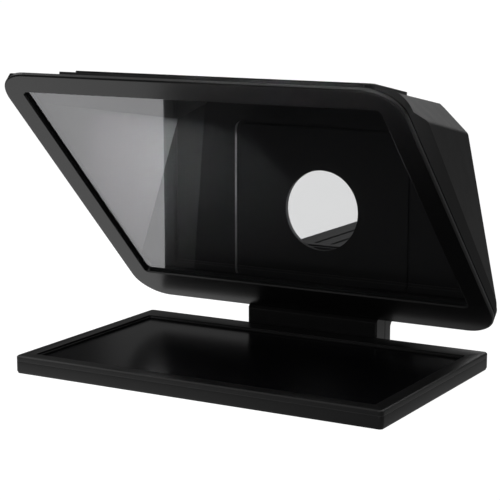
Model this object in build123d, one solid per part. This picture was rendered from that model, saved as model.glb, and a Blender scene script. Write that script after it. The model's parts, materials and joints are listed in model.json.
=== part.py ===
from build123d import *
import os
from math import cos, radians, sin

# Desk teleprompter: a flat display lies in front, a beam-splitter glass leans over it at 45 degrees, and
# a faceted hood behind the glass shades the lens of a camera that stands on a sliding platform.
# Millimetres. +Z is up, +Y points away from the reader towards the camera, +X is the reader's right.
# The origin is the mouth of the tripod thread in the underside of the neck.

os.makedirs("parts", exist_ok=True)

# --- named clearances -----------------------------------------------------------------------------
SLIP = 0.3            # between pieces that pass each other
RUN = 0.05            # radial, a pin or stud in a bore that it turns in
CLOSE = 0.1           # radial, a screw shank in its hole

# --- display unit ---------------------------------------------------------------------------------
DISPLAY_W = 225.0
DISPLAY_D = 139.0
DISPLAY_T = 10.0
DISPLAY_R = 2.5       # vertical corners
SEAM_Z = 7.0          # the bezel meets the bottom cover here
SHELL = 1.6           # wall of the display's two shells
RIM_SIDE = 8.0
RIM_FRONT = 8.5
RIM_REAR = 14.5
LEDGE_DROP = 1.0      # from the rim's top to the ledge round the screen
LEDGE_W = 1.4
LEDGE_T = 0.8
SCREEN_T = 1.0
PANEL_T = 2.2
BACKLIGHT_T = 1.4
SCREEN_LAP = 1.6      # how far the screen glass reaches under the ledge
PANEL_INSET = 3.0
BOARD_T = 1.0
BOARD_W = 150.0
BOARD_D = 9.0
BOARD_X = 20.0
CHIP_XS = (-62.0, -50.0, -4.5, 20.6)
CHIP_W = 9.0
CHIP_T = 1.2
PORT_W = 9.0
PORT_H = 3.2
PORT_D = 7.4
PORT_X = -80.0
PORT_SHELL = 0.35
PORT_TONGUE = 0.7
CASE_SCREW_R = 1.0
CASE_SCREW_HEAD_R = 1.9
CASE_SCREW_HEAD_T = 1.0
CASE_BOSS_R = 2.8

# --- neck -----------------------------------------------------------------------------------------
NECK_W = 86.0
NECK_D = 12.0
NECK_SHOULDER = 2.5   # the neck's top is this much wider on each side
THREAD_R = 3.175      # 1/4 inch tripod thread
THREAD_L = 8.0
INSERT_R = 4.3
NECK_SCREW_R = 1.5
NECK_SCREW_HEAD_R = 2.8
NECK_SCREW_HEAD_T = 2.0
NECK_SCREW_XS = (-33.0, -17.0, 17.0, 33.0)
NECK_SCREW_Z = 4.6
NECK_SCREW_REACH = 5.0

# --- mirror frame and beam-splitter glass -----------------------------------------------------------
FRAME_W = 238.0
FRAME_H = 206.0
FRAME_T = 2.2
FRAME_R = 20.0
FRAME_EDGE = 0.7      # chamfer round the outside and the window
TILT = 45.0
FRAME_FOOT_Z = 20.0
FRAME_FOOT_BACK = 1.5  # the frame's foot stands this far behind the display's rear face
WINDOW_W = 212.0
WINDOW_H = 167.0
WINDOW_FOOT = 24.5
WINDOW_R = 2.5
GLASS_T = 2.0
GLASS_LAP = 3.0
GASKET_T = 0.8
GASKET_INSET = 2.2
CUSHION_W = 2.0
RETAINER_T = 1.2
RETAINER_SIDE = 2.5     # from the hood's inside to the retainer, at each side, the foot and the top
RETAINER_BELOW = 5.5
RETAINER_ABOVE = 10.0
RETAINER_R = 16.0
RETAINER_SCREW_R = 1.0
RETAINER_SCREW_HEAD_R = 1.8
RETAINER_SCREW_HEAD_T = 1.0

# --- hood -------------------------------------------------------------------------------------------
HOOD_WALL = 2.5
FLANGE_T = 2.0
HOOD_BACK_Y = 7.5
TOP_DROP = 2.0        # the roof starts this far below the frame's top edge
COLLAR_D = 7.0         # least depth behind the frame's face, round the top corners
COLLAR_TOP = (167.0, 15.3)    # up the frame, behind its face: where the side facet leaves the collar
COLLAR_FOOT = (20.0, 8.9)
RIDGE_TOP = (95.5, 9.5, 131.4)   # half width, distance ahead of the back face, height
BACK_TOP_HALF = 74.0
BACK_TOP_Z = 146.2
RIDGE_R = 4.0          # round on the edges that meet at the ridge's rear end
BACK_FOOT_HALF = 88.9
BACK_FOOT_Z = 34.0
BOSS_X = 76.0
BOSS_R = 5.0
BOSS_TOP_Z = 37.0
HOOD_SCREW_XS = (-32.0, -14.0, 14.0, 32.0)
HOOD_SCREW_W = 8.0    # behind the frame's face
HOOD_SCREW_R = 1.5
HOOD_SCREW_HEAD_R = 2.4
HOOD_SCREW_HEAD_T = 1.5
HOOD_SCREW_REACH = 4.5

# --- hatch in the roof ------------------------------------------------------------------------------
HATCH_HALF = 91.0
HATCH_D = 97.7
HATCH_TAPER = 0.245   # how much the half width falls for each millimetre backwards
HATCH_T = 2.2
HATCH_R = 3.0
LID_SET_BACK = 6.8     # from the hinge axis to the lid's front edge
ARM_T = 2.2            # the lid's hinge arms, under the lid's level
ARM_REACH = 2.7        # how far the arms reach under the lid
HATCH_FRONT = 122.5   # the hinge axis lies this far ahead of the origin
SEAT_H = 2.0
SEAT_W = 3.0
SEAT_LAP = 8.0
PIN_R = 1.2
PIN_H = 0.9            # the pin's centre above the roof
KNUCKLE_R = 2.1
LID_KNUCKLES = ((-70.0, 16.0), (0.0, 16.0), (70.0, 16.0))   # middle, width
HOOD_KNUCKLES = ((-84.0, 9.0), (-35.0, 12.0), (35.0, 12.0), (84.0, 9.0))
LIP_H = 2.8
LIP_W = 1.6
LIP_GAP = 3.4

# --- removable backplate ------------------------------------------------------------------------------
PLATE_HOLE_W = 117.0
PLATE_HOLE_H = 97.5
PLATE_HOLE_R = 6.0
PLATE_Z = 82.2
PLATE_LAND = 6.0
PLATE_T = 1.8
PLUG_T = 1.2
PLUG_GAP = 2.4
LENS_R = 24.0
LENS_Z = 79.5
SEAL_IN_R = 25.5
SEAL_OUT_R = 31.0
SEAL_T = 6.0
SEAL_LIP_T = 1.2
SEAL_LIP_IN_R = 24.6
MAGNET_R = 2.2
MAGNET_T = 1.5
DISC_T = 0.8
MAGNET_INSET = 9.0    # from the plate opening's corner, measured up its side

# --- camera rail and platform ---------------------------------------------------------------------------
ARM_D = 7.0
RAIL_Z = 16.0
RAIL_T = 6.0
RAIL_END_Y = 150.0
RAIL_FILLET = 4.0
RAIL_SLOT_HALF = 4.2
RAIL_SLOT = (30.0, 142.0)
CAP_T = 4.0
CAP_TENON = 3.0
RAIL_SCREW_XS = (-26.0, 26.0)
RAIL_SCREW_Z = 11.0
RAIL_SCREW_REACH = 8.0
DECK_FRONT_Y = 44.0
DECK_D = 106.0
DECK_Z = 45.0
DECK_T = 5.0
PAD_T = 1.0
WEB_T = 4.0
SHOE_T = 5.0
SHOE_D = 60.0
SKIRT_T = 3.0
SKIRT_DROP = 5.0
RIB_XS = (-28.0, 28.0)
RIB_D = 22.0
CAMERA_SLOT_HALF = 3.5
CAMERA_SLOT = (56.0, 140.0)
GROOVE_XS = (-27.0, -15.7, 15.7, 27.0)
GROOVE_HALF = 1.4
GROOVE = (51.0, 143.0)
BOLT_R = 3.0
BOLT_Y = 74.0
BOLT_HEAD_R = 5.0
BOLT_HEAD_T = 4.0
KNOB_EDGE = 0.7
KNOB_FLOOR = 1.0
KNOB_R = 12.0
KNOB_LOBES = 8
KNOB_LOBE_R = 2.4
KNOB_FOOT_Z = 5.0
SCREW_Y = 100.0
SCREW_UP = 4.4
SCREW_WAIST_R = 2.6  # below its thread, so that the screw stays captive in the slot
WASHER_R = 8.0
WASHER_T = 0.8
THUMB_R = 10.0
THUMB_H = 8.0
THUMB_LOBES = 12
THUMB_LOBE_R = 1.2

# --- values that follow from the sizes above --------------------------------------------------------------
NECK_FRONT_Y = -NECK_D / 2
NECK_BACK_Y = NECK_D / 2
DISPLAY_BACK_Y = NECK_FRONT_Y
DISPLAY_MID_Y = DISPLAY_BACK_Y - DISPLAY_D / 2
WINDOW_MID = WINDOW_FOOT + WINDOW_H / 2
SCREEN_W = DISPLAY_W - 2 * RIM_SIDE
SCREEN_D = DISPLAY_D - RIM_FRONT - RIM_REAR
SCREEN_MID_Y = DISPLAY_MID_Y + (RIM_FRONT - RIM_REAR) / 2
SCREEN_TOP_Z = DISPLAY_T - LEDGE_DROP - LEDGE_T
FOOT = Vector(0, NECK_FRONT_Y + FRAME_FOOT_BACK, FRAME_FOOT_Z)
UP_SLOPE = Vector(0, -cos(radians(TILT)), sin(radians(TILT)))
BEHIND = Vector(0, sin(radians(TILT)), cos(radians(TILT)))
HOOD_FRONT = FRAME_T + GASKET_T
RETAINER_FRONT = HOOD_FRONT + FLANGE_T
RAIL_TOP_Z = RAIL_Z + RAIL_T
SHOE_Z = RAIL_TOP_Z + SLIP
DECK_TOP_Z = DECK_Z + DECK_T
RETAINER_W = FRAME_W - 2 * (HOOD_WALL + RETAINER_SIDE)
RETAINER_FOOT = HOOD_WALL + RETAINER_BELOW
RETAINER_TOP = FRAME_H - HOOD_WALL - RETAINER_ABOVE
ARM_BACK_Y = NECK_BACK_Y + ARM_D


# --- small helpers ------------------------------------------------------------------------------------------
def block(x, y, z):
    """A box given by its low and high value on each axis."""
    size = (x[1] - x[0], y[1] - y[0], z[1] - z[0])
    return Pos((x[0] + x[1]) / 2, (y[0] + y[1]) / 2, (z[0] + z[1]) / 2) * Box(*size)


def rounded_slab(width, depth, radius, mid_y, z):
    """A flat slab with rounded vertical corners, from z[0] to z[1]."""
    return extrude(Pos(0, mid_y, z[0]) * RectangleRounded(width, depth, radius), z[1] - z[0])


def mirror_plane(behind):
    """The plane of the mirror frame, moved behind its front face; its local Y runs up the slope."""
    return Plane(origin=FOOT + BEHIND * behind, x_dir=(-1, 0, 0), z_dir=BEHIND)


def mirror_point(x, up, behind):
    """A point given across the frame, up its slope and behind its front face."""
    return FOOT + Vector(x, 0, 0) + UP_SLOPE * up + BEHIND * behind


def mirror_slab(width, foot, top, radius, behind):
    """A rounded rectangle in the mirror's plane, from foot to top up the slope."""
    outline = RectangleRounded(width, top - foot, radius)
    return extrude(mirror_plane(behind[0]) * Pos(0, (foot + top) / 2) * outline, behind[1] - behind[0])


def rod(point, direction, radius, length):
    """A round rod that starts at a point and runs along a direction."""
    return extrude(Plane(origin=point, z_dir=direction) * Circle(radius), length)


def screw(point, direction, radius, reach, head_r, head_t):
    """A screw seen from its seat: the shank runs along direction, the socket head stands the other way."""
    away = Vector(direction) * -1
    shank = rod(point, direction, radius, reach)
    head = rod(point, away, head_r, head_t)
    socket = extrude(Plane(origin=Vector(point) + away * head_t, z_dir=direction)
                     * RegularPolygon(head_r / 2, 6), head_t / 2)
    return head + shank - socket


def group(pieces):
    """Separate solids that share one node."""
    return Compound(children=list(pieces))


# --- display unit ---------------------------------------------------------------------------------------------
def case_screw_spots():
    half_x = DISPLAY_W / 2 - RIM_SIDE / 2
    front = DISPLAY_MID_Y - DISPLAY_D / 2 + RIM_FRONT / 2
    rear = DISPLAY_BACK_Y - RIM_REAR / 2
    return [(x, y) for y in (front, rear) for x in (-half_x, 0, half_x)]


def display_bezel():
    body = rounded_slab(DISPLAY_W, DISPLAY_D, DISPLAY_R, DISPLAY_MID_Y, (SEAM_Z, DISPLAY_T))
    body = chamfer(body.faces().sort_by(Axis.Z)[-1].edges(), FRAME_EDGE)
    body -= rounded_slab(SCREEN_W, SCREEN_D, 1.0, SCREEN_MID_Y, (SCREEN_TOP_Z + LEDGE_T, DISPLAY_T))
    inner = 2 * LEDGE_W
    body -= rounded_slab(SCREEN_W - inner, SCREEN_D - inner, 1.0, SCREEN_MID_Y, (SEAM_Z, DISPLAY_T))
    pocket = 2 * (SCREEN_LAP - LEDGE_W + SLIP)
    body -= rounded_slab(SCREEN_W + pocket, SCREEN_D + pocket, 1.0, SCREEN_MID_Y, (SEAM_Z, SCREEN_TOP_Z))
    for x, y in case_screw_spots():
        body -= rod((x, y, SEAM_Z), (0, 0, 1), CASE_SCREW_R + CLOSE, CASE_SCREW_R * 2)
    return body


def screen_glass():
    size = 2 * (SCREEN_LAP - LEDGE_W)
    z = (SCREEN_TOP_Z - SCREEN_T, SCREEN_TOP_Z)
    return rounded_slab(SCREEN_W + size, SCREEN_D + size, 0.8, SCREEN_MID_Y, z)


def lcd_panel():
    top = SCREEN_TOP_Z - SCREEN_T
    return rounded_slab(SCREEN_W - PANEL_INSET, SCREEN_D - PANEL_INSET, 0.8, SCREEN_MID_Y, (top - PANEL_T, top))


def backlight():
    top = SCREEN_TOP_Z - SCREEN_T - PANEL_T
    size = (SCREEN_W - PANEL_INSET, SCREEN_D - PANEL_INSET)
    return rounded_slab(*size, 0.8, SCREEN_MID_Y, (SHELL + SLIP, top))


def board_box():
    mid = DISPLAY_BACK_Y - SHELL - SLIP - BOARD_D / 2
    x = (-BOARD_W / 2 - BOARD_X, BOARD_W / 2 - BOARD_X)
    return x, (mid - BOARD_D / 2, mid + BOARD_D / 2), (SHELL, SHELL + BOARD_T)


def display_board():
    x, y, z = board_box()
    board = block(x, y, z)
    for chip_x in CHIP_XS:
        board += block((chip_x, chip_x + CHIP_W), (y[0] + 1.0, y[1] - 1.5), (z[1], z[1] + CHIP_T))
    for spot_x, spot_y in case_screw_spots():
        board -= rod((spot_x, spot_y, 0), (0, 0, 1), CASE_BOSS_R + SLIP, SEAM_Z)
    return board


def port_outline(grow):
    return RectangleRounded(PORT_W + 2 * grow, PORT_H + 2 * grow, PORT_H / 2 + grow - 0.01)


def port_plane():
    z = SHELL + BOARD_T + PORT_H / 2
    return Plane(origin=(PORT_X, DISPLAY_BACK_Y - 0.2, z), x_dir=(1, 0, 0), z_dir=(0, -1, 0))


def usb_port():
    shell = extrude(port_plane() * port_outline(0), PORT_D)
    shell -= extrude(port_plane() * port_outline(-PORT_SHELL), PORT_D - PORT_SHELL)
    tongue_w = PORT_W - 4 * PORT_SHELL - PORT_TONGUE
    tongue = port_plane().offset(1.0) * Rectangle(tongue_w, PORT_TONGUE)
    return shell + extrude(tongue, PORT_D - PORT_SHELL / 2 - 1.0)


def display_bottom_cover():
    body = rounded_slab(DISPLAY_W, DISPLAY_D, DISPLAY_R, DISPLAY_MID_Y, (0, SEAM_Z))
    body = chamfer(body.faces().sort_by(Axis.Z)[0].edges(), 2 * FRAME_EDGE, FRAME_EDGE)
    wall = 2 * SHELL
    hollow = rounded_slab(DISPLAY_W - wall, DISPLAY_D - wall, 1.0, DISPLAY_MID_Y, (SHELL, SEAM_Z))
    for x, y in case_screw_spots():
        hollow -= rod((x, y, SHELL), (0, 0, 1), CASE_BOSS_R, SEAM_Z - SHELL)
    for x in NECK_SCREW_XS:
        rear = DISPLAY_BACK_Y
        depth = NECK_SCREW_REACH + SHELL
        boss = (x - CASE_BOSS_R, x + CASE_BOSS_R), (rear - depth, rear), (SHELL + BOARD_T + CLOSE, SEAM_Z)
        hollow -= block(*boss)
    body -= hollow
    for x, y in case_screw_spots():
        body -= rod((x, y, 0), (0, 0, 1), CASE_SCREW_R + CLOSE, SEAM_Z)
        body -= rod((x, y, 0), (0, 0, 1), CASE_SCREW_HEAD_R + CLOSE, CASE_SCREW_HEAD_T + CLOSE)
    for x in NECK_SCREW_XS:
        spot = (x, DISPLAY_BACK_Y, NECK_SCREW_Z)
        body -= rod(spot, (0, -1, 0), NECK_SCREW_R + CLOSE, NECK_SCREW_REACH + CLOSE)
    body -= extrude(port_plane().offset(-1.0) * port_outline(SLIP), PORT_D)
    return body


def display_screws():
    reach = SEAM_Z + CASE_SCREW_R - CASE_SCREW_HEAD_T
    seat = CASE_SCREW_HEAD_T + CLOSE
    return group(screw((x, y, seat), (0, 0, 1), CASE_SCREW_R, reach, CASE_SCREW_HEAD_R, CASE_SCREW_HEAD_T)
                 for x, y in case_screw_spots())


# --- neck -------------------------------------------------------------------------------------------------------
def below_frame(body):
    """Cut a piece along the plane of the frame's lower edge and keep what lies below it."""
    return split(body, bisect_by=Plane(origin=FOOT, z_dir=UP_SLOPE), keep=Keep.BOTTOM)


def neck_screw_seat_y():
    return NECK_BACK_Y - NECK_SCREW_HEAD_T - CLOSE


def neck():
    half = NECK_W / 2
    top = FRAME_FOOT_Z + NECK_D + NECK_BACK_Y
    body = block((-half, half), (NECK_FRONT_Y, NECK_BACK_Y), (0, top))
    body = fillet(body.edges().filter_by(Axis.Z), 1.0)
    wide = half + NECK_SHOULDER
    shoulder_y = (NECK_FRONT_Y + FRAME_FOOT_BACK + FRAME_T, NECK_BACK_Y)
    body += block((-wide, wide), shoulder_y, (FRAME_FOOT_Z, top))
    body = below_frame(body)
    body -= rod((0, 0, 0), (0, 0, 1), INSERT_R, THREAD_L + 1.0)
    for x in NECK_SCREW_XS:
        seat = (x, neck_screw_seat_y(), NECK_SCREW_Z)
        body -= rod(seat, (0, 1, 0), NECK_SCREW_HEAD_R + CLOSE, NECK_SCREW_HEAD_T + CLOSE)
        body -= rod((x, NECK_FRONT_Y, NECK_SCREW_Z), (0, 1, 0), NECK_SCREW_R + CLOSE, NECK_D)
    for x in RAIL_SCREW_XS:
        body -= rod((x, NECK_BACK_Y, RAIL_SCREW_Z), (0, -1, 0), NECK_SCREW_R + CLOSE, RAIL_SCREW_REACH)
    for x in HOOD_SCREW_XS:
        spot = mirror_point(x, 0, HOOD_SCREW_W)
        body -= rod(spot, UP_SLOPE * -1, HOOD_SCREW_R + CLOSE, HOOD_SCREW_REACH)
    return body


def neck_screws():
    reach = neck_screw_seat_y() - NECK_FRONT_Y + NECK_SCREW_REACH
    return group(screw((x, neck_screw_seat_y(), NECK_SCREW_Z), (0, -1, 0), NECK_SCREW_R, reach,
                       NECK_SCREW_HEAD_R, NECK_SCREW_HEAD_T) for x in NECK_SCREW_XS)


def tripod_insert():
    return rod((0, 0, 0), (0, 0, 1), INSERT_R, THREAD_L + 1.0) - rod((0, 0, 0), (0, 0, 1), THREAD_R, THREAD_L)


# --- mirror frame, glass and what holds it ------------------------------------------------------------------------
def window(grow, behind):
    return mirror_slab(WINDOW_W + 2 * grow, WINDOW_FOOT - grow, WINDOW_FOOT + WINDOW_H + grow,
                       WINDOW_R, behind)


def mirror_frame():
    body = mirror_slab(FRAME_W, 0, FRAME_H, FRAME_R, (0, FRAME_T)) - window(0, (0, FRAME_T))
    front = body.faces().sort_by(Axis(tuple(FOOT), tuple(BEHIND)))[0]
    return chamfer(front.edges(), FRAME_EDGE)


def beam_splitter_glass():
    return window(GLASS_LAP, (FRAME_T, FRAME_T + GLASS_T))


def frame_gasket():
    inset = GASKET_INSET
    ring = mirror_slab(FRAME_W - 2 * inset, inset, FRAME_H - inset, FRAME_R - inset, (FRAME_T, HOOD_FRONT))
    return ring - window(GLASS_LAP + SLIP, (FRAME_T, HOOD_FRONT))


def glass_cushion():
    behind = (FRAME_T + GLASS_T, RETAINER_FRONT)
    return window(GLASS_LAP, behind) - window(GLASS_LAP - CUSHION_W, behind)


def retainer_screw_spots():
    low = (RETAINER_FOOT + WINDOW_FOOT) / 2
    side = (WINDOW_W / 2 + GLASS_LAP + RETAINER_W / 2) / 2 + SLIP
    bottom = [(x, low) for x in (-80.0, -55.0, 55.0, 80.0)]
    return bottom + [(x, up) for x in (-side, side) for up in (65.0, 108.0, 151.0)]


def glass_retainer():
    behind = (RETAINER_FRONT, RETAINER_FRONT + RETAINER_T)
    body = mirror_slab(RETAINER_W, RETAINER_FOOT, RETAINER_TOP, RETAINER_R, behind) - window(0, behind)
    for x, up in retainer_screw_spots():
        body -= rod(mirror_point(x, up, behind[0]), BEHIND, RETAINER_SCREW_R + CLOSE, RETAINER_T)
    return body


def retainer_screws():
    seat = RETAINER_FRONT + RETAINER_T
    return group(screw(mirror_point(x, up, seat), BEHIND * -1, RETAINER_SCREW_R, RETAINER_T + FLANGE_T - CLOSE,
                       RETAINER_SCREW_HEAD_R, RETAINER_SCREW_HEAD_T) for x, up in retainer_screw_spots())


# --- hood -----------------------------------------------------------------------------------------------------------
def facet(a, b, c):
    """The plane through three points, facing away from the middle of the hood."""
    inside = mirror_point(0, FRAME_H / 2, COLLAR_TOP[1])
    normal = (b - a).cross(c - a).normalized()
    if (inside - a).dot(normal) > 0:
        normal = normal * -1
    return Plane(origin=a, z_dir=normal)


def roof():
    front = FRAME_H - TOP_DROP
    return facet(mirror_point(0, front, HOOD_FRONT), mirror_point(1, front, HOOD_FRONT),
                 Vector(0, HOOD_BACK_Y, BACK_TOP_Z))


def ridge_end(side):
    """The corner where a top facet meets the two facets below it."""
    return Vector(side * RIDGE_TOP[0], HOOD_BACK_Y - RIDGE_TOP[1], RIDGE_TOP[2])


def facets():
    """The flat outer faces of the hood behind its collar."""
    planes = [roof(), Plane(origin=(0, HOOD_BACK_Y, 0), z_dir=(0, 1, 0))]
    for side in (-1, 1):
        collar_top = mirror_point(side * FRAME_W / 2, *COLLAR_TOP)
        collar_foot = mirror_point(side * FRAME_W / 2, *COLLAR_FOOT)
        ridge_top = ridge_end(side)
        back_top = Vector(side * BACK_TOP_HALF, HOOD_BACK_Y, BACK_TOP_Z)
        back_foot = Vector(side * BACK_FOOT_HALF, HOOD_BACK_Y, BACK_FOOT_Z)
        planes.append(facet(collar_top, collar_foot, ridge_top))
        planes.append(facet(collar_top, ridge_top, back_top))
        planes.append(facet(collar_foot, ridge_top, back_foot))
    return planes


def hood_form(inset, front):
    """The hood's outside moved inwards by inset, starting this far behind the frame's face."""
    reach = FRAME_H
    body = mirror_slab(FRAME_W - 2 * inset, inset, FRAME_H - inset, FRAME_R - inset, (front, reach))
    for plane in facets():
        body = split(body, bisect_by=plane.offset(-inset), keep=Keep.BOTTOM)
    return body


def collar_ring():
    """The collar's least depth, which rounds the top corners ahead of the facets."""
    ring = mirror_slab(FRAME_W, 0, FRAME_H, FRAME_R, (HOOD_FRONT, COLLAR_D))
    return split(ring, bisect_by=roof(), keep=Keep.BOTTOM)


def hood_outside():
    """The hood's outer form, with the three edges at each ridge end rounded."""
    body = hood_form(0, HOOD_FRONT)
    ends = [ridge_end(side) for side in (-1, 1)]
    edges = [edge for edge in body.edges() if min(edge.distance_to(end) for end in ends) < SLIP]
    return fillet(edges, RIDGE_R) + collar_ring()


def roof_plane():
    """On the roof's outside, at the hatch hinge; local Y runs backwards and local Z out of the roof."""
    plane = roof()
    y = -HATCH_FRONT
    z = plane.origin.Z - (y - plane.origin.Y) * plane.z_dir.Y / plane.z_dir.Z
    return Plane(origin=(0, y, z), x_dir=(1, 0, 0), z_dir=plane.z_dir)


def hatch_outline(grow, front):
    """The hatch's tapered outline, grown all round, starting at front behind the hinge axis."""
    back = HATCH_D + grow
    wide, narrow = (HATCH_HALF + grow - HATCH_TAPER * (y - LID_SET_BACK) for y in (front, back))
    outline = Polygon((-wide, front), (wide, front), (narrow, back), (-narrow, back), align=None)
    return fillet(outline.vertices(), HATCH_R)


def knuckle(middle, width, radius):
    place = Plane(origin=(middle - width / 2, 0, PIN_H), z_dir=(1, 0, 0))
    return extrude(place * Circle(radius), width)


def hood_hatch_seat():
    """What stands on the roof for the hatch: a low seat on three sides, hinge knuckles and a front lip."""
    seat = extrude(hatch_outline(0, LID_SET_BACK), SEAT_H) - extrude(hatch_outline(-SEAT_W, 0), SEAT_H)
    seat += block((-HATCH_HALF, HATCH_HALF), (-LIP_GAP - LIP_W, -LIP_GAP), (0, LIP_H))
    for middle, width in HOOD_KNUCKLES:
        seat += knuckle(middle, width, KNUCKLE_R)
    return seat


def knuckle_troughs():
    """Hollows in the roof that the lid's knuckles turn in."""
    return [knuckle(middle, width + 2 * SLIP, KNUCKLE_R + SLIP) for middle, width in LID_KNUCKLES]


def flange_holes():
    return [rod(mirror_point(x, up, HOOD_FRONT + CLOSE), BEHIND, RETAINER_SCREW_R + CLOSE, FLANGE_T)
            for x, up in retainer_screw_spots()]


def hood_bosses():
    """Two round bosses on the floor, just ahead of the back wall."""
    y = HOOD_BACK_Y - HOOD_WALL - BOSS_R
    pillars = [rod((x, y, FRAME_FOOT_Z), (0, 0, 1), BOSS_R, BOSS_TOP_Z - FRAME_FOOT_Z) for x in (-BOSS_X, BOSS_X)]
    return [fillet(pillar.edges().sort_by(Axis.Z)[-1], 2.0) & hood_form(HOOD_WALL / 2, HOOD_FRONT)
            for pillar in pillars]


def magnet_spots():
    half = PLATE_HOLE_W / 2 + PLATE_LAND / 2
    rise = PLATE_HOLE_H / 2 - MAGNET_INSET
    return [(x, PLATE_Z + dz) for x in (-half, half) for dz in (-rise, rise)]


def plate_slab(width, height, radius, y):
    """An upright rounded slab on the backplate's centre, from y[0] to y[1]."""
    place = Plane(origin=(0, y[0], PLATE_Z), x_dir=(-1, 0, 0), z_dir=(0, 1, 0))
    return extrude(place * RectangleRounded(width, height, radius), y[1] - y[0])


def hood():
    body = hood_outside() - hood_form(HOOD_WALL, RETAINER_FRONT)
    body -= window(GLASS_LAP + SLIP, (HOOD_FRONT, RETAINER_FRONT))
    for hole in flange_holes():
        body -= hole
    for boss in hood_bosses():
        body += boss
    body -= plate_slab(PLATE_HOLE_W, PLATE_HOLE_H, PLATE_HOLE_R, (HOOD_BACK_Y - 2 * HOOD_WALL, HOOD_BACK_Y))
    for x, z in magnet_spots():
        body -= rod((x, HOOD_BACK_Y, z), (0, -1, 0), MAGNET_R + CLOSE, MAGNET_T)
    for x in HOOD_SCREW_XS:
        body -= rod(mirror_point(x, 0, HOOD_SCREW_W), UP_SLOPE, HOOD_SCREW_R + CLOSE, HOOD_WALL)
    body += roof_plane() * hood_hatch_seat()
    for trough in knuckle_troughs():
        body -= roof_plane() * trough
    hole = hatch_outline(-SEAT_LAP, LID_SET_BACK + SEAT_W)
    body -= roof_plane() * Pos(0, 0, -2 * HOOD_WALL) * extrude(hole, 2 * HOOD_WALL)
    body -= roof_plane() * knuckle(0, 2 * HATCH_HALF, PIN_R + RUN)
    return body


def hood_screws():
    reach = HOOD_WALL + HOOD_SCREW_REACH - CLOSE
    return group(screw(mirror_point(x, HOOD_WALL, HOOD_SCREW_W), UP_SLOPE * -1, HOOD_SCREW_R, reach,
                       HOOD_SCREW_HEAD_R, HOOD_SCREW_HEAD_T) for x in HOOD_SCREW_XS)


# --- hatch ------------------------------------------------------------------------------------------------------------
def hatch():
    body = Pos(0, 0, SEAT_H) * extrude(hatch_outline(0, LID_SET_BACK), HATCH_T)
    for middle, width in LID_KNUCKLES:
        span = (middle - width / 2, middle + width / 2)
        body += knuckle(middle, width, KNUCKLE_R)
        body += block(span, (0, LID_SET_BACK + ARM_REACH), (SLIP, SLIP + ARM_T))
    body -= knuckle(0, 2 * HATCH_HALF, PIN_R + RUN)
    return roof_plane() * body


def hatch_pin():
    reach = HOOD_KNUCKLES[-1][0] + HOOD_KNUCKLES[-1][1] / 2
    return roof_plane() * knuckle(0, 2 * reach, PIN_R)


# --- backplate -----------------------------------------------------------------------------------------------------------
def backplate():
    land = 2 * PLATE_LAND
    outer = (PLATE_HOLE_W + land, PLATE_HOLE_H + land, PLATE_HOLE_R + PLATE_LAND)
    body = plate_slab(*outer, (HOOD_BACK_Y, HOOD_BACK_Y + PLATE_T))
    gap = 2 * PLUG_GAP
    plug = (PLATE_HOLE_W - gap, PLATE_HOLE_H - gap, PLATE_HOLE_R - PLUG_GAP)
    body += plate_slab(*plug, (HOOD_BACK_Y - PLUG_T, HOOD_BACK_Y))
    body -= rod((0, HOOD_BACK_Y - PLUG_T, LENS_Z), (0, 1, 0), LENS_R, PLUG_T + PLATE_T)
    for x, z in magnet_spots():
        body -= rod((x, HOOD_BACK_Y, z), (0, 1, 0), MAGNET_R + CLOSE, DISC_T)
    return body


def lens_seal():
    start = HOOD_BACK_Y + PLATE_T
    ring = rod((0, start, LENS_Z), (0, 1, 0), SEAL_OUT_R, SEAL_T)
    ring -= rod((0, start, LENS_Z), (0, 1, 0), SEAL_IN_R, SEAL_T)
    lip = rod((0, start + SEAL_T - SEAL_LIP_T, LENS_Z), (0, 1, 0), SEAL_OUT_R, SEAL_LIP_T)
    return ring + lip - rod((0, start, LENS_Z), (0, 1, 0), SEAL_LIP_IN_R, SEAL_T)


def hood_magnets():
    return group(rod((x, HOOD_BACK_Y, z), (0, -1, 0), MAGNET_R, MAGNET_T) for x, z in magnet_spots())


def backplate_discs():
    return group(rod((x, HOOD_BACK_Y, z), (0, 1, 0), MAGNET_R, DISC_T) for x, z in magnet_spots())


# --- camera rail -------------------------------------------------------------------------------------------------------------
def stadium(half, y, z):
    """A slot with round ends along Y, cut from z[0] to z[1]."""
    outline = SlotOverall(y[1] - y[0], 2 * half)
    return extrude(Pos(0, (y[0] + y[1]) / 2, z[0]) * Rot(0, 0, 90) * outline, z[1] - z[0])


def camera_rail():
    half = NECK_W / 2
    body = block((-half, half), (NECK_BACK_Y, ARM_BACK_Y), (0, RAIL_TOP_Z))
    body += block((-half, half), (NECK_BACK_Y, RAIL_END_Y), (RAIL_Z, RAIL_TOP_Z))
    corner = [edge for edge in body.edges().filter_by(Axis.X)
              if abs(edge.center().Y - ARM_BACK_Y) < CLOSE and abs(edge.center().Z - RAIL_Z) < CLOSE]
    body = fillet(corner, RAIL_FILLET)
    body -= stadium(RAIL_SLOT_HALF, RAIL_SLOT, (RAIL_Z, RAIL_TOP_Z))
    tenon = block((-half / 2, half / 2), (RAIL_END_Y - CAP_TENON, RAIL_END_Y), (RAIL_Z + 2, RAIL_TOP_Z - 2))
    body -= tenon
    for x in RAIL_SCREW_XS:
        body -= rod((x, NECK_BACK_Y, RAIL_SCREW_Z), (0, 1, 0), NECK_SCREW_R + CLOSE, ARM_D)
        seat = (x, ARM_BACK_Y - NECK_SCREW_HEAD_T, RAIL_SCREW_Z)
        body -= rod(seat, (0, 1, 0), NECK_SCREW_HEAD_R + CLOSE, NECK_SCREW_HEAD_T + RAIL_FILLET)
    return body


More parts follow.
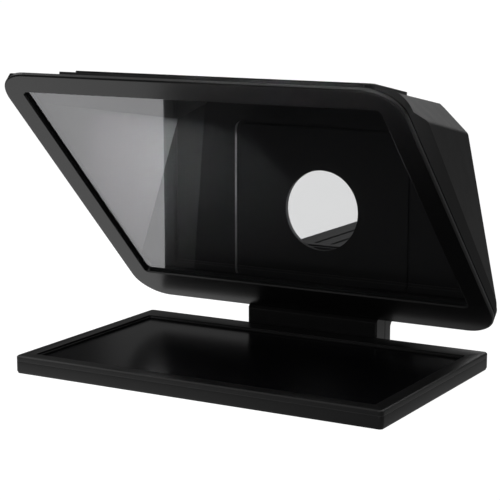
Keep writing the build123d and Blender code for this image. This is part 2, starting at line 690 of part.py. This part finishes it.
def rail_end_cap():
    half = NECK_W / 2
    body = block((-half, half), (RAIL_END_Y, RAIL_END_Y + CAP_T), (RAIL_Z, RAIL_TOP_Z))
    body = fillet(body.edges().filter_by(Axis.Z).sort_by(Axis.Y)[-2:], 2.0)
    inner = half / 2 - CLOSE
    tenon_z = (RAIL_Z + 2 + CLOSE, RAIL_TOP_Z - 2 - CLOSE)
    return body + block((-inner, inner), (RAIL_END_Y - CAP_TENON + CLOSE, RAIL_END_Y), tenon_z)


def rail_screws():
    reach = ARM_D - NECK_SCREW_HEAD_T + RAIL_SCREW_REACH - CLOSE
    return group(screw((x, ARM_BACK_Y - NECK_SCREW_HEAD_T, RAIL_SCREW_Z), (0, -1, 0), NECK_SCREW_R, reach,
                       NECK_SCREW_HEAD_R, NECK_SCREW_HEAD_T - CLOSE) for x in RAIL_SCREW_XS)


def deck_cuts(z):
    cuts = stadium(CAMERA_SLOT_HALF, CAMERA_SLOT, z)
    for x in GROOVE_XS:
        cuts += Pos(x, 0, 0) * stadium(GROOVE_HALF, GROOVE, z)
    return cuts


def camera_platform():
    half = NECK_W / 2
    wide = half + SLIP + SKIRT_T
    front = DECK_FRONT_Y
    deck = block((-half, half), (front, front + DECK_D), (DECK_Z, DECK_TOP_Z))
    deck = fillet(deck.edges().filter_by(Axis.Z), 3.0) - deck_cuts((DECK_Z, DECK_TOP_Z))
    web = block((-half, half), (front, front + WEB_T), (SHOE_Z, DECK_TOP_Z - 1.0))
    shoe = block((-wide, wide), (front, front + SHOE_D), (SHOE_Z, SHOE_Z + SHOE_T))
    body = deck + fillet(web.edges().filter_by(Axis.Z).sort_by(Axis.Y)[:2], 3.0) + shoe
    for side in (-1, 1):
        skirt_x = sorted((side * (half + SLIP), side * wide))
        body += block(skirt_x, (front, front + SHOE_D), (RAIL_TOP_Z - SKIRT_DROP, SHOE_Z + SHOE_T))
    for x in RIB_XS:
        body += block((x - WEB_T / 2, x + WEB_T / 2), (front, front + RIB_D), (SHOE_Z, DECK_Z + 1.0))
    body -= deck_cuts((DECK_Z, DECK_TOP_Z))
    return body - rod((0, BOLT_Y, SHOE_Z), (0, 0, 1), BOLT_R + CLOSE, SHOE_T)


def platform_pad():
    inset = 1.5
    half = NECK_W / 2 - inset
    y = (DECK_FRONT_Y + inset, DECK_FRONT_Y + DECK_D - inset)
    z = (DECK_TOP_Z, DECK_TOP_Z + PAD_T)
    pad = block((-half, half), y, z)
    return fillet(pad.edges().filter_by(Axis.Z), 2.0) - deck_cuts(z)


def lock_bolt():
    seat = SHOE_Z + SHOE_T
    head = extrude(Pos(0, BOLT_Y, seat) * RegularPolygon(BOLT_HEAD_R, 6), BOLT_HEAD_T)
    foot = KNOB_FOOT_Z + KNOB_FLOOR
    return head + rod((0, BOLT_Y, foot), (0, 0, 1), BOLT_R, seat - foot)


def knob(point, size, lobes, lobe_r, bore_r, bore):
    """A scalloped knob on a point, size its radius and height, bored from bore[0] to bore[1] above its foot."""
    radius, height = size
    body = rod((0, 0, 0), (0, 0, 1), radius, height)
    body = chamfer(body.edges(), KNOB_EDGE)
    for place in PolarLocations(radius + lobe_r / 2, lobes):
        body -= place * extrude(Circle(lobe_r), height)
    body -= rod((0, 0, bore[0]), (0, 0, 1), bore_r, bore[1] - bore[0])
    return Pos(*point) * body


def lock_knob():
    height = RAIL_Z - SLIP - KNOB_FOOT_Z
    spot = (0, BOLT_Y, KNOB_FOOT_Z)
    return knob(spot, (KNOB_R, height), KNOB_LOBES, KNOB_LOBE_R, BOLT_R + RUN, (KNOB_FLOOR - RUN, height))


def screw_washer():
    top = DECK_Z - SLIP
    spot = (0, SCREW_Y, top - WASHER_T)
    return rod(spot, (0, 0, 1), WASHER_R, WASHER_T) - rod(spot, (0, 0, 1), SCREW_WAIST_R + RUN, WASHER_T)


def thumb_foot_z():
    return DECK_Z - SLIP - WASHER_T - CLOSE - THUMB_H


def camera_screw_knob():
    spot = (0, SCREW_Y, thumb_foot_z())
    return knob(spot, (THUMB_R, THUMB_H), THUMB_LOBES, THUMB_LOBE_R, SCREW_WAIST_R, (KNOB_FLOOR, THUMB_H))


def camera_screw():
    foot = thumb_foot_z() + KNOB_FLOOR
    seat = DECK_TOP_Z + PAD_T
    waist = rod((0, SCREW_Y, foot), (0, 0, 1), SCREW_WAIST_R, seat - foot)
    thread = rod((0, SCREW_Y, seat), (0, 0, 1), THREAD_R, SCREW_UP)
    return waist + chamfer(thread.edges().sort_by(Axis.Z)[-1], 0.5)


PARTS = [display_bezel, display_bottom_cover, screen_glass, lcd_panel, backlight, display_board, usb_port,
         display_screws, neck, neck_screws, tripod_insert, mirror_frame, beam_splitter_glass, frame_gasket,
         glass_cushion, glass_retainer, retainer_screws, hood, hood_screws, hatch, hatch_pin, backplate,
         backplate_discs, hood_magnets, lens_seal, camera_rail, rail_screws, rail_end_cap, camera_platform,
         platform_pad, lock_bolt, lock_knob, screw_washer, camera_screw, camera_screw_knob]

for part in PARTS:
    export_step(part(), "parts/" + part.__name__ + ".step")
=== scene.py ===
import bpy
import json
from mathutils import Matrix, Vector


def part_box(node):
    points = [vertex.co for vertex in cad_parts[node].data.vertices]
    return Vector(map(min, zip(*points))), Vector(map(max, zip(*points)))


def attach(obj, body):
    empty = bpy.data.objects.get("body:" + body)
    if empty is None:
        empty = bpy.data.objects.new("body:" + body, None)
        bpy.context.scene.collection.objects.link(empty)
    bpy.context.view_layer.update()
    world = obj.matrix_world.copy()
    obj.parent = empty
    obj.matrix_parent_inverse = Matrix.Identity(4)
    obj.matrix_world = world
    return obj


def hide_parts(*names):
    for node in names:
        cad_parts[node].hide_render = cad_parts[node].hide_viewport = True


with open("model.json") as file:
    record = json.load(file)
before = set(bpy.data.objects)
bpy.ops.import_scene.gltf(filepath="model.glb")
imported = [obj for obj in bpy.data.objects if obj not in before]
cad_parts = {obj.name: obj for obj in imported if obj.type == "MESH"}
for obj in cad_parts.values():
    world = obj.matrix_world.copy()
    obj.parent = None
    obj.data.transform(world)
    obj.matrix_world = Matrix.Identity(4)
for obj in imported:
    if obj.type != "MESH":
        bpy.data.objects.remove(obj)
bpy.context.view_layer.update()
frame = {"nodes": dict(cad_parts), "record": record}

import bpy
import bmesh
import json
import math
from mathutils import Vector

NODES = frame["nodes"]
SLOT_OF = {part["node"]: part["material_slot"] for part in frame["record"]["subparts"]}
scene = bpy.context.scene
MM = 0.001

# --- camera --------------------------------------------------------------------------------------------------
CAMERA_AT = (0.43997, -0.84694, 0.22970)
CAMERA_AZIMUTH = 29.887
CAMERA_ELEVATION = 10.894
CAMERA_LENS = 117.9
CAMERA_SHIFT = (0.0049, 0.0356)

# --- studio --------------------------------------------------------------------------------------------------
FLOOR_HALF = 20.0
FLOOR_WHITE = 0.16
FLOOR_LIFT = 0.86        # how much of the floor's own white the camera sees, over its shadows
FLOOR_SEEN = 1.18        # that white's strength
POOL_AT = (-0.30, -0.10, 0.0)
POOL_NEAR = 0.20         # full glow within this distance, and hardly any beyond the next
POOL_FAR = 0.52
POOL_GLOW = 0.72
POOL_REST = 0.03
SKY_LOW = 0.02           # near the horizon
SKY_HIGH = 0.75          # overhead
SKY_RISE = (0.25, 0.85)  # the heights between which it turns from one to the other
LAMPS = (                # name, place, size, watts
    ("front_softbox", (0.4, -1.7, 0.5), (0.8, 0.5), 5),
    ("top_softbox", (0.1, 0.4, 1.7), (1.8, 1.8), 9),
    ("rear_softbox", (0.8, 1.7, 1.7), (0.9, 0.9), 7),
    ("left_softbox", (-1.4, -0.3, 0.9), (1.2, 1.2), 5),
    ("back_panel", (-0.45, 3.0, 0.75), (1.1, 0.7), 2.4),
    ("back_left_panel", (-1.95, 3.0, 0.75), (0.5, 0.7), 0.14),
)

BEAM_FROM = (0.90, -0.85, 0.30)
BEAM_TO = (-0.118, 0.02, 0.110)
BEAM_SIZE = 0.08
BEAM_SPREAD = math.radians(5)
BEAM_WATTS = 0.045

# --- mirror --------------------------------------------------------------------------------------------------
GLASS_EDGE = 0.35 * MM   # chamfer round the glass
MIRROR_SHARE = 0.27      # of the light that the coated face sends back
CLEAR_SHARE = 0.94       # of the rest, that gets through
HAZE = 0.012             # how far the coat's share drifts, either way
HAZE_SCALE = 18.0
BACK_SHARE = 0.03        # of the light that the uncoated back sends back
BACK_ROUGH = 0.01

# --- finishes ------------------------------------------------------------------------------------------------
WALL_SHARE = 0.07        # of the painted inner light, on the faces that look forwards
SIDE_FROM, SIDE_GAIN = 0.5, 3.0       # how squarely a face looks inwards, and how fast the painted light sets in
WALL_FROM, WALL_GAIN = 0.85, 8.0      # the same, for looking forwards
RUB_GAIN = 6.0           # how fast the lighter edge colour sets in where an edge bends: rubbed wear with a painted highlight
COAT_ROUGH = 0.1

# --- soft and turned pieces ----------------------------------------------------------------------------------
SEAL_WALL = 1.4 * MM
SEAL_RIBS = 3
SEAL_RIB_RISE = 0.45 * MM
SEAL_TAPER = 0.25        # of the wall, from the foot to the rim
SEAL_STEPS = 128
SEAL_SHARP = 50          # degrees
RIB_STEPS = 8
ROLL_STEPS = 8
PAD_EDGE = 0.25 * MM      # asked for: the overlap limit leaves about 0.035 mm of it
EASED_EDGE = 0.35 * MM    # asked for: the same limit leaves 0.001 to 0.08 mm of it
FOAM_EDGE = 0.15 * MM     # the foam gets this in full
JOIN = 0.002 * MM         # points nearer than this are one
FLAT_ANGLE = math.radians(1.0)
SHARP_ANGLE = math.radians(40)
EDGE_PROFILE = 0.6
THREAD_PITCH = 1.27 * MM  # 20 threads to the inch
THREAD_DEPTH = 0.55 * MM
THREAD_SIDES = 40
THREAD_STEPS = 8          # to each pitch
THREAD_SHARP = 60         # degrees


def add_camera():
    camera = bpy.data.objects.new("camera", bpy.data.cameras.new("camera"))
    scene.collection.objects.link(camera)
    camera.location = CAMERA_AT
    camera.rotation_euler = (math.radians(90 - CAMERA_ELEVATION), 0, math.radians(CAMERA_AZIMUTH))
    camera.data.lens = CAMERA_LENS
    camera.data.sensor_width = 36
    camera.data.shift_x, camera.data.shift_y = CAMERA_SHIFT
    camera.data.clip_end = 100
    scene.camera = camera


class Graph:
    """A short way to write a node tree: every call adds a node and links or sets what it is given."""

    def __init__(self, tree):
        self.tree = tree
        tree.nodes.clear()

    def add(self, kind, settings=None, **inputs):
        node = self.tree.nodes.new(kind)
        for name, value in (settings or {}).items():
            setattr(node, name, value)
        for name, value in inputs.items():
            self.put(node, name.replace("_", " "), value)
        return node

    def put(self, node, name, value):
        socket = node.inputs[int(name[5:])] if name.startswith("slot ") else node.inputs[name]
        if hasattr(value, "is_output"):
            self.tree.links.new(value, socket)
        else:
            socket.default_value = value

    def math(self, operation, a, b=0.0, clamp=False):
        node = self.add("ShaderNodeMath", {"operation": operation, "use_clamp": clamp}, slot_0=a, slot_1=b)
        return node.outputs[0]

    def spread(self, value, low, high):
        """A 0 to 1 value, stretched to run from low to high."""
        return self.add("ShaderNodeMapRange", None, Value=value, To_Min=low, To_Max=high).outputs[0]


def grey(value):
    return (value, value, value, 1.0)


def add_sky():
    """White for the camera; for light and reflections, dim at the horizon and bright overhead."""
    world = bpy.data.worlds.new("studio")
    scene.world = world
    world.use_nodes = True
    g = Graph(world.node_tree)
    direction = g.add("ShaderNodeTexCoord").outputs["Generated"]
    height = g.add("ShaderNodeSeparateXYZ", None, Vector=direction).outputs["Z"]
    ramp = g.add("ShaderNodeMapRange", {"interpolation_type": "SMOOTHSTEP"}, Value=height,
                 From_Min=SKY_RISE[0], From_Max=SKY_RISE[1], To_Min=SKY_LOW, To_Max=SKY_HIGH).outputs[0]
    lit = g.add("ShaderNodeBackground", None, Color=grey(1.0), Strength=ramp)
    seen = g.add("ShaderNodeBackground", None, Color=grey(1.0), Strength=1.0)
    path = g.add("ShaderNodeLightPath")
    mix = g.add("ShaderNodeMixShader", None, Fac=path.outputs["Is Camera Ray"], slot_1=lit.outputs[0],
                slot_2=seen.outputs[0])
    g.add("ShaderNodeOutputWorld", None, Surface=mix.outputs[0])


def add_lamps():
    for name, place, size, watts in LAMPS:
        lamp = bpy.data.objects.new(name, bpy.data.lights.new(name, "AREA"))
        scene.collection.objects.link(lamp)
        lamp.data.shape = "RECTANGLE"
        lamp.data.size, lamp.data.size_y = size
        lamp.data.energy = watts
        lamp.location = place
        lamp.rotation_euler = (-Vector(place)).to_track_quat("-Z", "Y").to_euler()


def add_beam():
    """A narrow beam through the glass, onto the hood's left side."""
    light = bpy.data.lights.new("side_beam", "AREA")
    light.shape, light.size, light.energy, light.spread = "SQUARE", BEAM_SIZE, BEAM_WATTS, BEAM_SPREAD
    lamp = bpy.data.objects.new("side_beam", light)
    scene.collection.objects.link(lamp)
    lamp.location = BEAM_FROM
    lamp.rotation_euler = (Vector(BEAM_TO) - Vector(BEAM_FROM)).to_track_quat("-Z", "Y").to_euler()


def add_floor():
    mesh = bpy.data.meshes.new("floor")
    h = FLOOR_HALF
    mesh.from_pydata([(-h, -h, 0), (h, -h, 0), (h, h, 0), (-h, h, 0)], [], [(0, 1, 2, 3)])
    floor = bpy.data.objects.new("floor", mesh)
    scene.collection.objects.link(floor)
    material = bpy.data.materials.new("floor")
    material.use_nodes = True
    g = Graph(material.node_tree)
    paper = g.add("ShaderNodeBsdfDiffuse", None, Color=grey(FLOOR_WHITE))
    place = g.add("ShaderNodeTexCoord").outputs["Object"]
    away = g.add("ShaderNodeVectorMath", {"operation": "DISTANCE"}, slot_0=place, slot_1=POOL_AT)
    glow = g.add("ShaderNodeMapRange", {"interpolation_type": "SMOOTHSTEP"}, Value=away.outputs["Value"],
                 From_Min=POOL_NEAR, From_Max=POOL_FAR, To_Min=POOL_GLOW, To_Max=POOL_REST).outputs[0]
    pool = g.add("ShaderNodeEmission", None, Color=grey(1.0), Strength=glow)
    lit = g.add("ShaderNodeAddShader", None, slot_0=paper.outputs[0], slot_1=pool.outputs[0])
    white = g.add("ShaderNodeEmission", None, Color=grey(1.0), Strength=FLOOR_SEEN)
    path = g.add("ShaderNodeLightPath")
    seen = g.math("MAXIMUM", path.outputs["Is Camera Ray"], path.outputs["Is Transmission Ray"])
    mix = g.add("ShaderNodeMixShader", None, Fac=g.math("MULTIPLY", seen, FLOOR_LIFT), slot_1=lit.outputs[0],
                slot_2=white.outputs[0])
    g.add("ShaderNodeOutputMaterial", None, Surface=mix.outputs[0])
    mesh.materials.append(material)


# --- materials -----------------------------------------------------------------------------------------------
def painted_inner_light(g, body, colour):
    """Painted light: a lighter colour on the faces that look inwards, and a trace of it on those that look
    forwards, standing in for light that falls inside the hood.
    """
    geometry = g.add("ShaderNodeNewGeometry")
    place = g.add("ShaderNodeSeparateXYZ", None, Vector=geometry.outputs["Position"])
    facing = g.add("ShaderNodeSeparateXYZ", None, Vector=geometry.outputs["Normal"])
    across = g.math("MULTIPLY", facing.outputs["X"], -1.0)
    inward = g.math("MULTIPLY", g.math("SIGN", place.outputs["X"]), across)
    sides = g.math("MULTIPLY", g.math("SUBTRACT", inward, SIDE_FROM), SIDE_GAIN, True)
    ahead = g.math("MULTIPLY", facing.outputs["Y"], -1.0)
    forward = g.math("MULTIPLY", g.math("SUBTRACT", ahead, WALL_FROM), WALL_GAIN, True)
    share = g.math("MAXIMUM", sides, g.math("MULTIPLY", forward, WALL_SHARE))
    return g.add("ShaderNodeMix", {"data_type": "RGBA"}, Factor=share, slot_6=body,
                 slot_7=tuple(colour) + (1.0,)).outputs[2]


def surface(name, colour, rough, ior=1.45, metallic=0.0, tone=0.15, blotch=60.0, grain=1400.0, depth=0.02,
            uneven=0.08, edge=0.35, wear_and_highlight=0.0, worn_and_highlight=None, coat=0.0, brushed=None, inside=None):
    """One finish: a colour that drifts, a fine grain in the relief, uneven gloss, soft edges lightened where
    they bend (rubbed wear with a painted highlight), and, when inside is given, painted light on the inner
    faces.
    """
    material = bpy.data.materials.new(name)
    material.use_nodes = True
    g = Graph(material.node_tree)
    place = g.add("ShaderNodeTexCoord").outputs["Object"]
    broad = g.add("ShaderNodeTexNoise", None, Vector=place, Scale=blotch, Detail=3.0).outputs["Fac"]
    stretch = place
    if brushed:
        stretch = g.add("ShaderNodeMapping", None, Vector=place, Scale=brushed).outputs[0]
    fine = g.add("ShaderNodeTexNoise", None, Vector=stretch, Scale=grain, Detail=2.0).outputs["Fac"]
    dark = tuple(c * (1 - tone) for c in colour) + (1.0,)
    light = tuple(c * (1 + tone) for c in colour) + (1.0,)
    speckle = g.math("ADD", g.math("MULTIPLY", broad, 0.6), g.math("MULTIPLY", fine, 0.4))
    body = g.add("ShaderNodeMix", {"data_type": "RGBA"}, Factor=g.spread(speckle, -0.5, 1.5), slot_6=dark,
                 slot_7=light).outputs[2]
    # painted light: a lighter colour on the inner faces, for light falling inside the hood
    if inside:
        body = painted_inner_light(g, body, inside)
    gloss = g.spread(g.math("ADD", g.math("MULTIPLY", broad, 0.5), g.math("MULTIPLY", fine, 0.5)),
                     rough - uneven, rough + uneven)
    rounded = g.add("ShaderNodeBevel", {"samples": 4}, Radius=edge * MM).outputs[0]
    # lighter where an edge bends: partly rubbed wear, partly a painted highlight on the edges
    if wear_and_highlight:
        flat = g.add("ShaderNodeNewGeometry").outputs["Normal"]
        along = g.add("ShaderNodeVectorMath", {"operation": "DOT_PRODUCT"}, slot_0=rounded, slot_1=flat)
        bend = g.math("SUBTRACT", 1.0, along.outputs["Value"])
        rubbed_and_highlit = g.math("MULTIPLY", g.math("MULTIPLY", bend, RUB_GAIN, True), g.spread(fine, 0.2, 1.2), True)
        body = g.add("ShaderNodeMix", {"data_type": "RGBA"}, Factor=g.math("MULTIPLY", rubbed_and_highlit, wear_and_highlight),
                     slot_6=body, slot_7=tuple(worn_and_highlight) + (1.0,)).outputs[2]
    relief = g.add("ShaderNodeBump", None, Strength=1.0, Distance=depth * MM, Height=fine, Normal=rounded)
    shader = g.add("ShaderNodeBsdfPrincipled", None, Base_Color=body, Roughness=gloss, IOR=ior,
                   Metallic=metallic, Normal=relief.outputs[0], Coat_Weight=coat, Coat_Roughness=COAT_ROUGH)
    g.add("ShaderNodeOutputMaterial", None, Surface=shader.outputs[0])
    return material


def tint(value):
    return (value, value, value * 1.02)


def make_finishes():
    return {
        # the case's lighter edge colour is partly rubbed wear and partly a painted highlight along its edges
        "case": surface("case", tint(0.006), 0.34, ior=1.36, depth=0.006, edge=0.45, wear_and_highlight=0.6,
                        worn_and_highlight=tint(0.07)),
        "frame": surface("frame", tint(0.006), 0.24, ior=1.42, grain=1600, depth=0.002, uneven=0.03, edge=0.25,
                         wear_and_highlight=0.5, worn_and_highlight=tint(0.05)),
        # inside: painted light, a lighter colour on the hood's inner faces
        "hood": surface("hood", tint(0.009), 0.46, ior=1.24, grain=1500, depth=0.008, edge=0.5, wear_and_highlight=0.3,
                        worn_and_highlight=tint(0.03), inside=tint(0.24)),
        "lid": surface("lid", tint(0.009), 0.46, ior=1.24, grain=1500, depth=0.008, edge=0.5, wear_and_highlight=0.3,
                       worn_and_highlight=tint(0.03)),
        "screen": surface("screen", (0.002, 0.002, 0.0025), 0.19, ior=1.27, depth=0.0, uneven=0.02, tone=0.3),
        "panel": surface("panel", (0.010, 0.010, 0.012), 0.3),
        "light": surface("light", (0.75, 0.76, 0.78), 0.5),
        "board": surface("board", (0.010, 0.060, 0.028), 0.4, coat=0.5),
        "steel": surface("steel", (0.52, 0.52, 0.53), 0.30, metallic=1.0, grain=600, brushed=(1, 1, 0.04)),
        "black_steel": surface("black_steel", tint(0.03), 0.34, metallic=0.6, wear_and_highlight=0.8, worn_and_highlight=tint(0.22)),
        "brass": surface("brass", (0.60, 0.41, 0.17), 0.28, metallic=1.0, tone=0.08),
        "mirror_glass": surface("glass_edge", (0.02, 0.03, 0.028), 0.2),
        "rubber": surface("rubber", tint(0.009), 0.62, ior=1.25, grain=900, depth=0.05),
        "pad": surface("pad", tint(0.030), 0.60, ior=1.35, grain=900, depth=0.03, edge=0.1),
        "foam": surface("foam", tint(0.012), 0.80, grain=700, depth=0.08, edge=0.1),
        "rail": surface("rail", tint(0.020), 0.36, metallic=0.5, grain=700, brushed=(1, 0.03, 1), wear_and_highlight=0.7,
                        worn_and_highlight=tint(0.16)),
        "platform": surface("platform", (0.055, 0.055, 0.057), 0.40, metallic=0.4, grain=700, tone=0.1,
                            brushed=(1, 0.03, 1), wear_and_highlight=0.7, worn_and_highlight=tint(0.35)),
        "knob": surface("knob", tint(0.010), 0.44, wear_and_highlight=0.5, worn_and_highlight=tint(0.05)),
        "magnet": surface("magnet", (0.50, 0.49, 0.48), 0.22, metallic=1.0),
    }


def paint(obj, material):
    obj.data.materials.clear()
    obj.data.materials.append(material)


def finish_nodes(finishes):
    for name, node in NODES.items():
        # the hatch moves, so it takes the hood's finish without the painted inner light
        paint(node, finishes["lid" if name == "hatch" else SLOT_OF[name]])


# --- new pieces ----------------------------------------------------------------------------------------------
def new_piece(name, bm, material, slot, body, *nodes):
    """Turns a bmesh into a piece that rides on a body and stands for these CAD nodes."""
    mesh = bpy.data.meshes.new(name)
    bmesh.ops.recalc_face_normals(bm, faces=bm.faces)
    bm.to_mesh(mesh)
    bm.free()
    mesh.materials.append(material)
    piece = bpy.data.objects.new(name, mesh)
    scene.collection.objects.link(piece)
    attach(piece, body)
    if nodes:
        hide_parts(*nodes)
    return piece


def slope_ranges(node):
    """A sloping node's extent: across, up its slope and behind its face, at the mirror's 45 degrees."""
    half = math.sqrt(0.5)
    spots = [(v.co.x, (v.co.z - v.co.y) * half, (v.co.y + v.co.z) * half) for v in NODES[node].data.vertices]
    return [(min(axis), max(axis)) for axis in zip(*spots)]


def sloped(x, up, behind):
    half = math.sqrt(0.5)
    return Vector((x, (behind - up) * half, (behind + up) * half))


def coating():
    """The mirror coat: part of the light comes back, and nearly all of the rest goes through."""
    material = bpy.data.materials.new("mirror_coat")
    material.use_nodes = True
    g = Graph(material.node_tree)
    place = g.add("ShaderNodeTexCoord").outputs["Object"]
    haze = g.add("ShaderNodeTexNoise", None, Vector=place, Scale=HAZE_SCALE, Detail=4.0).outputs["Fac"]
    share = g.spread(haze, MIRROR_SHARE - HAZE, MIRROR_SHARE + HAZE)
    through = g.add("ShaderNodeBsdfTransparent", None, Color=(CLEAR_SHARE, CLEAR_SHARE, CLEAR_SHARE * 1.01, 1))
    back = g.add("ShaderNodeBsdfGlossy", None, Color=(0.93, 0.93, 0.95, 1), Roughness=0.0)
    mix = g.add("ShaderNodeMixShader", None, Fac=share, slot_1=through.outputs[0], slot_2=back.outputs[0])
    g.add("ShaderNodeOutputMaterial", None, Surface=mix.outputs[0])
    return material


def plain_face():
    """The uncoated back of the glass, which hardly shows."""
    material = bpy.data.materials.new("glass_back")
    material.use_nodes = True
    g = Graph(material.node_tree)
    through = g.add("ShaderNodeBsdfTransparent", None, Color=(0.985, 0.99, 0.985, 1))
    back = g.add("ShaderNodeBsdfGlossy", None, Color=grey(1.0), Roughness=BACK_ROUGH)
    mix = g.add("ShaderNodeMixShader", None, Fac=BACK_SHARE, slot_1=through.outputs[0], slot_2=back.outputs[0])
    g.add("ShaderNodeOutputMaterial", None, Surface=mix.outputs[0])
    return material


def add_glass(finishes):
    """The beam splitter: a sheet with ground edges, coated on its front."""
    (left, right), (foot, top), (front, rear) = slope_ranges("beam_splitter_glass")
    bm = bmesh.new()
    rings = []
    for behind, inset in ((front, GLASS_EDGE), (front + GLASS_EDGE, 0),
                          (rear - GLASS_EDGE, 0), (rear, GLASS_EDGE)):
        spots = ((left + inset, foot + inset), (right - inset, foot + inset),
                 (right - inset, top - inset), (left + inset, top - inset))
        rings.append([bm.verts.new(sloped(x, up, behind)) for x, up in spots])
    for near, far in zip(rings, rings[1:]):
        for i in range(4):
            j = (i + 1) % 4
            bm.faces.new((near[i], near[j], far[j], far[i]))
    bm.faces.new(rings[0][::-1])
    bm.faces.new(rings[-1])
    bmesh.ops.recalc_face_normals(bm, faces=bm.faces)
    bm.faces.ensure_lookup_table()
    bm.faces[-2].material_index = 1
    bm.faces[-1].material_index = 2
    glass = new_piece("beam_splitter", bm, finishes["mirror_glass"], "mirror_glass", "housing",
                      "beam_splitter_glass")
    glass.data.materials.append(coating())
    glass.data.materials.append(plain_face())


def ring_profile(points, steps, centre):
    """A closed ring turned round the Y axis from a profile of (radius, place along the axis) points."""
    bm = bmesh.new()
    rows = []
    for step in range(steps):
        angle = 2 * math.pi * step / steps
        row = []
        for radius, along in points:
            spot = Vector((radius * math.cos(angle), along, radius * math.sin(angle)))
            row.append(bm.verts.new(spot + centre))
        rows.append(row)
    count = len(points)
    for a, b in zip(rows, rows[1:] + rows[:1]):
        for i in range(count):
            j = (i + 1) % count
            bm.faces.new((a[i], a[j], b[j], b[i]))
    return bm


def smooth(piece, angle=35):
    for face in piece.data.polygons:
        face.use_smooth = True
    piece.data.set_sharp_from_angle(angle=math.radians(angle))
    return piece


def middle(node):
    low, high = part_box(node)
    return (low + high) / 2


def add_lens_seal(finishes):
    """The soft ring round the lens: a skirt with a rolled rim and ribs, much thinner than the CAD ring."""
    low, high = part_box("lens_seal")
    outer = (high.x - low.x) / 2
    depth = high.y - low.y
    foot = outer - SEAL_WALL
    outside = []
    for rib in range(SEAL_RIBS):
        start = SEAL_WALL / 2 + (depth - SEAL_WALL) * rib / SEAL_RIBS
        pitch = (depth - SEAL_WALL) / SEAL_RIBS
        for k in range(RIB_STEPS):
            bulge = SEAL_RIB_RISE * (math.sin(math.pi * k / RIB_STEPS) - 1)
            outside.append((outer + bulge, start + pitch * k / RIB_STEPS))
    rim = []
    for k in range(ROLL_STEPS + 1):
        turn = math.pi * k / ROLL_STEPS
        half = SEAL_WALL / 2
        rim.append((outer - SEAL_RIB_RISE - half + half * math.cos(turn),
                    depth - half + half * math.sin(turn)))
    inside = [(foot + SEAL_WALL * SEAL_TAPER, depth - SEAL_WALL), (foot - SEAL_WALL * SEAL_TAPER, 0.0)]
    points = [(outer - SEAL_RIB_RISE, 0.0)] + outside + rim + inside
    centre = Vector((middle("lens_seal").x, low.y, middle("lens_seal").z))
    bm = ring_profile(points, SEAL_STEPS, centre)
    smooth(new_piece("lens_seal_skirt", bm, finishes["rubber"], "rubber", "housing", "lens_seal"), SEAL_SHARP)


def rounded_copy(node, name, body, material, radius):
    """The node's own shape as a new piece, its flat faces joined up and its edges rounded by up to the radius.

    The bevel's overlap limit leaves most pieces far less than that: the edge values above say how much."""
    bm = bmesh.new()
    bm.from_mesh(NODES[node].data)
    bmesh.ops.remove_doubles(bm, verts=bm.verts, dist=JOIN)
    bmesh.ops.dissolve_limit(bm, angle_limit=FLAT_ANGLE, verts=bm.verts, edges=bm.edges)
    sharp = [edge for edge in bm.edges if len(edge.link_faces) == 2
             and edge.calc_face_angle(0) > SHARP_ANGLE]
    bmesh.ops.bevel(bm, geom=sharp, offset=radius, segments=2, profile=EDGE_PROFILE, affect="EDGES",
                    clamp_overlap=True)
    return smooth(new_piece(name, bm, material, SLOT_OF[node], body, node))


def add_pad(finishes):
    """The slotted rubber pad on the camera platform, in all but the CAD's own shape."""
    pad = rounded_copy("platform_pad", "platform_grip", "platform", finishes["pad"], PAD_EDGE)


def add_foam(finishes):
    """The foam gasket and the foam cushion that hold the glass, with soft edges."""
    for node in ("frame_gasket", "glass_cushion"):
        rounded_copy(node, node + "_soft", "housing", finishes["foam"], FOAM_EDGE)


def screw_thread(name, node, body, material, thread_from):
    """A stud with a real helical thread above a plain waist, as wide as the CAD stud."""
    low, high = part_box(node)
    centre = middle(node)
    radius = (high.x - low.x) / 2
    bm = bmesh.new()
    rows = int((high.z - low.z) * THREAD_STEPS / THREAD_PITCH)
    rings = []
    for row in range(rows + 1):
        z = low.z + (high.z - low.z) * row / rows
        ring = []
        for side in range(THREAD_SIDES):
            angle = 2 * math.pi * side / THREAD_SIDES
            phase = (z / THREAD_PITCH - side / THREAD_SIDES) % 1.0
            cut = THREAD_DEPTH * abs(2 * phase - 1) if z >= thread_from else THREAD_DEPTH
            end = max(0.0, z - (high.z - THREAD_PITCH))
            r = radius - max(cut, end)
            ring.append(bm.verts.new((centre.x + r * math.cos(angle), centre.y + r * math.sin(angle), z)))
        rings.append(ring)
    for a, b in zip(rings, rings[1:]):
        for i in range(THREAD_SIDES):
            j = (i + 1) % THREAD_SIDES
            bm.faces.new((a[i], a[j], b[j], b[i]))
    bm.faces.new(rings[0][::-1])
    bm.faces.new(rings[-1])
    return smooth(new_piece(name, bm, material, SLOT_OF[node], body, node), THREAD_SHARP)


add_camera()
add_sky()
add_lamps()
add_beam()
add_floor()
scene.view_settings.view_transform = "Standard"
finishes = make_finishes()
finish_nodes(finishes)
add_glass(finishes)
add_lens_seal(finishes)
add_pad(finishes)
add_foam(finishes)
screw_thread("camera_thread_stud", "camera_screw", "camera_screw", finishes["steel"],
             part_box("camera_platform")[1].z)
for node, body in (("lock_knob", "lock_knob"), ("camera_screw_knob", "camera_screw"),
                   ("display_bezel", "housing"), ("display_bottom_cover", "housing")):
    rounded_copy(node, node + "_eased", body, finishes[SLOT_OF[node]], EASED_EDGE)
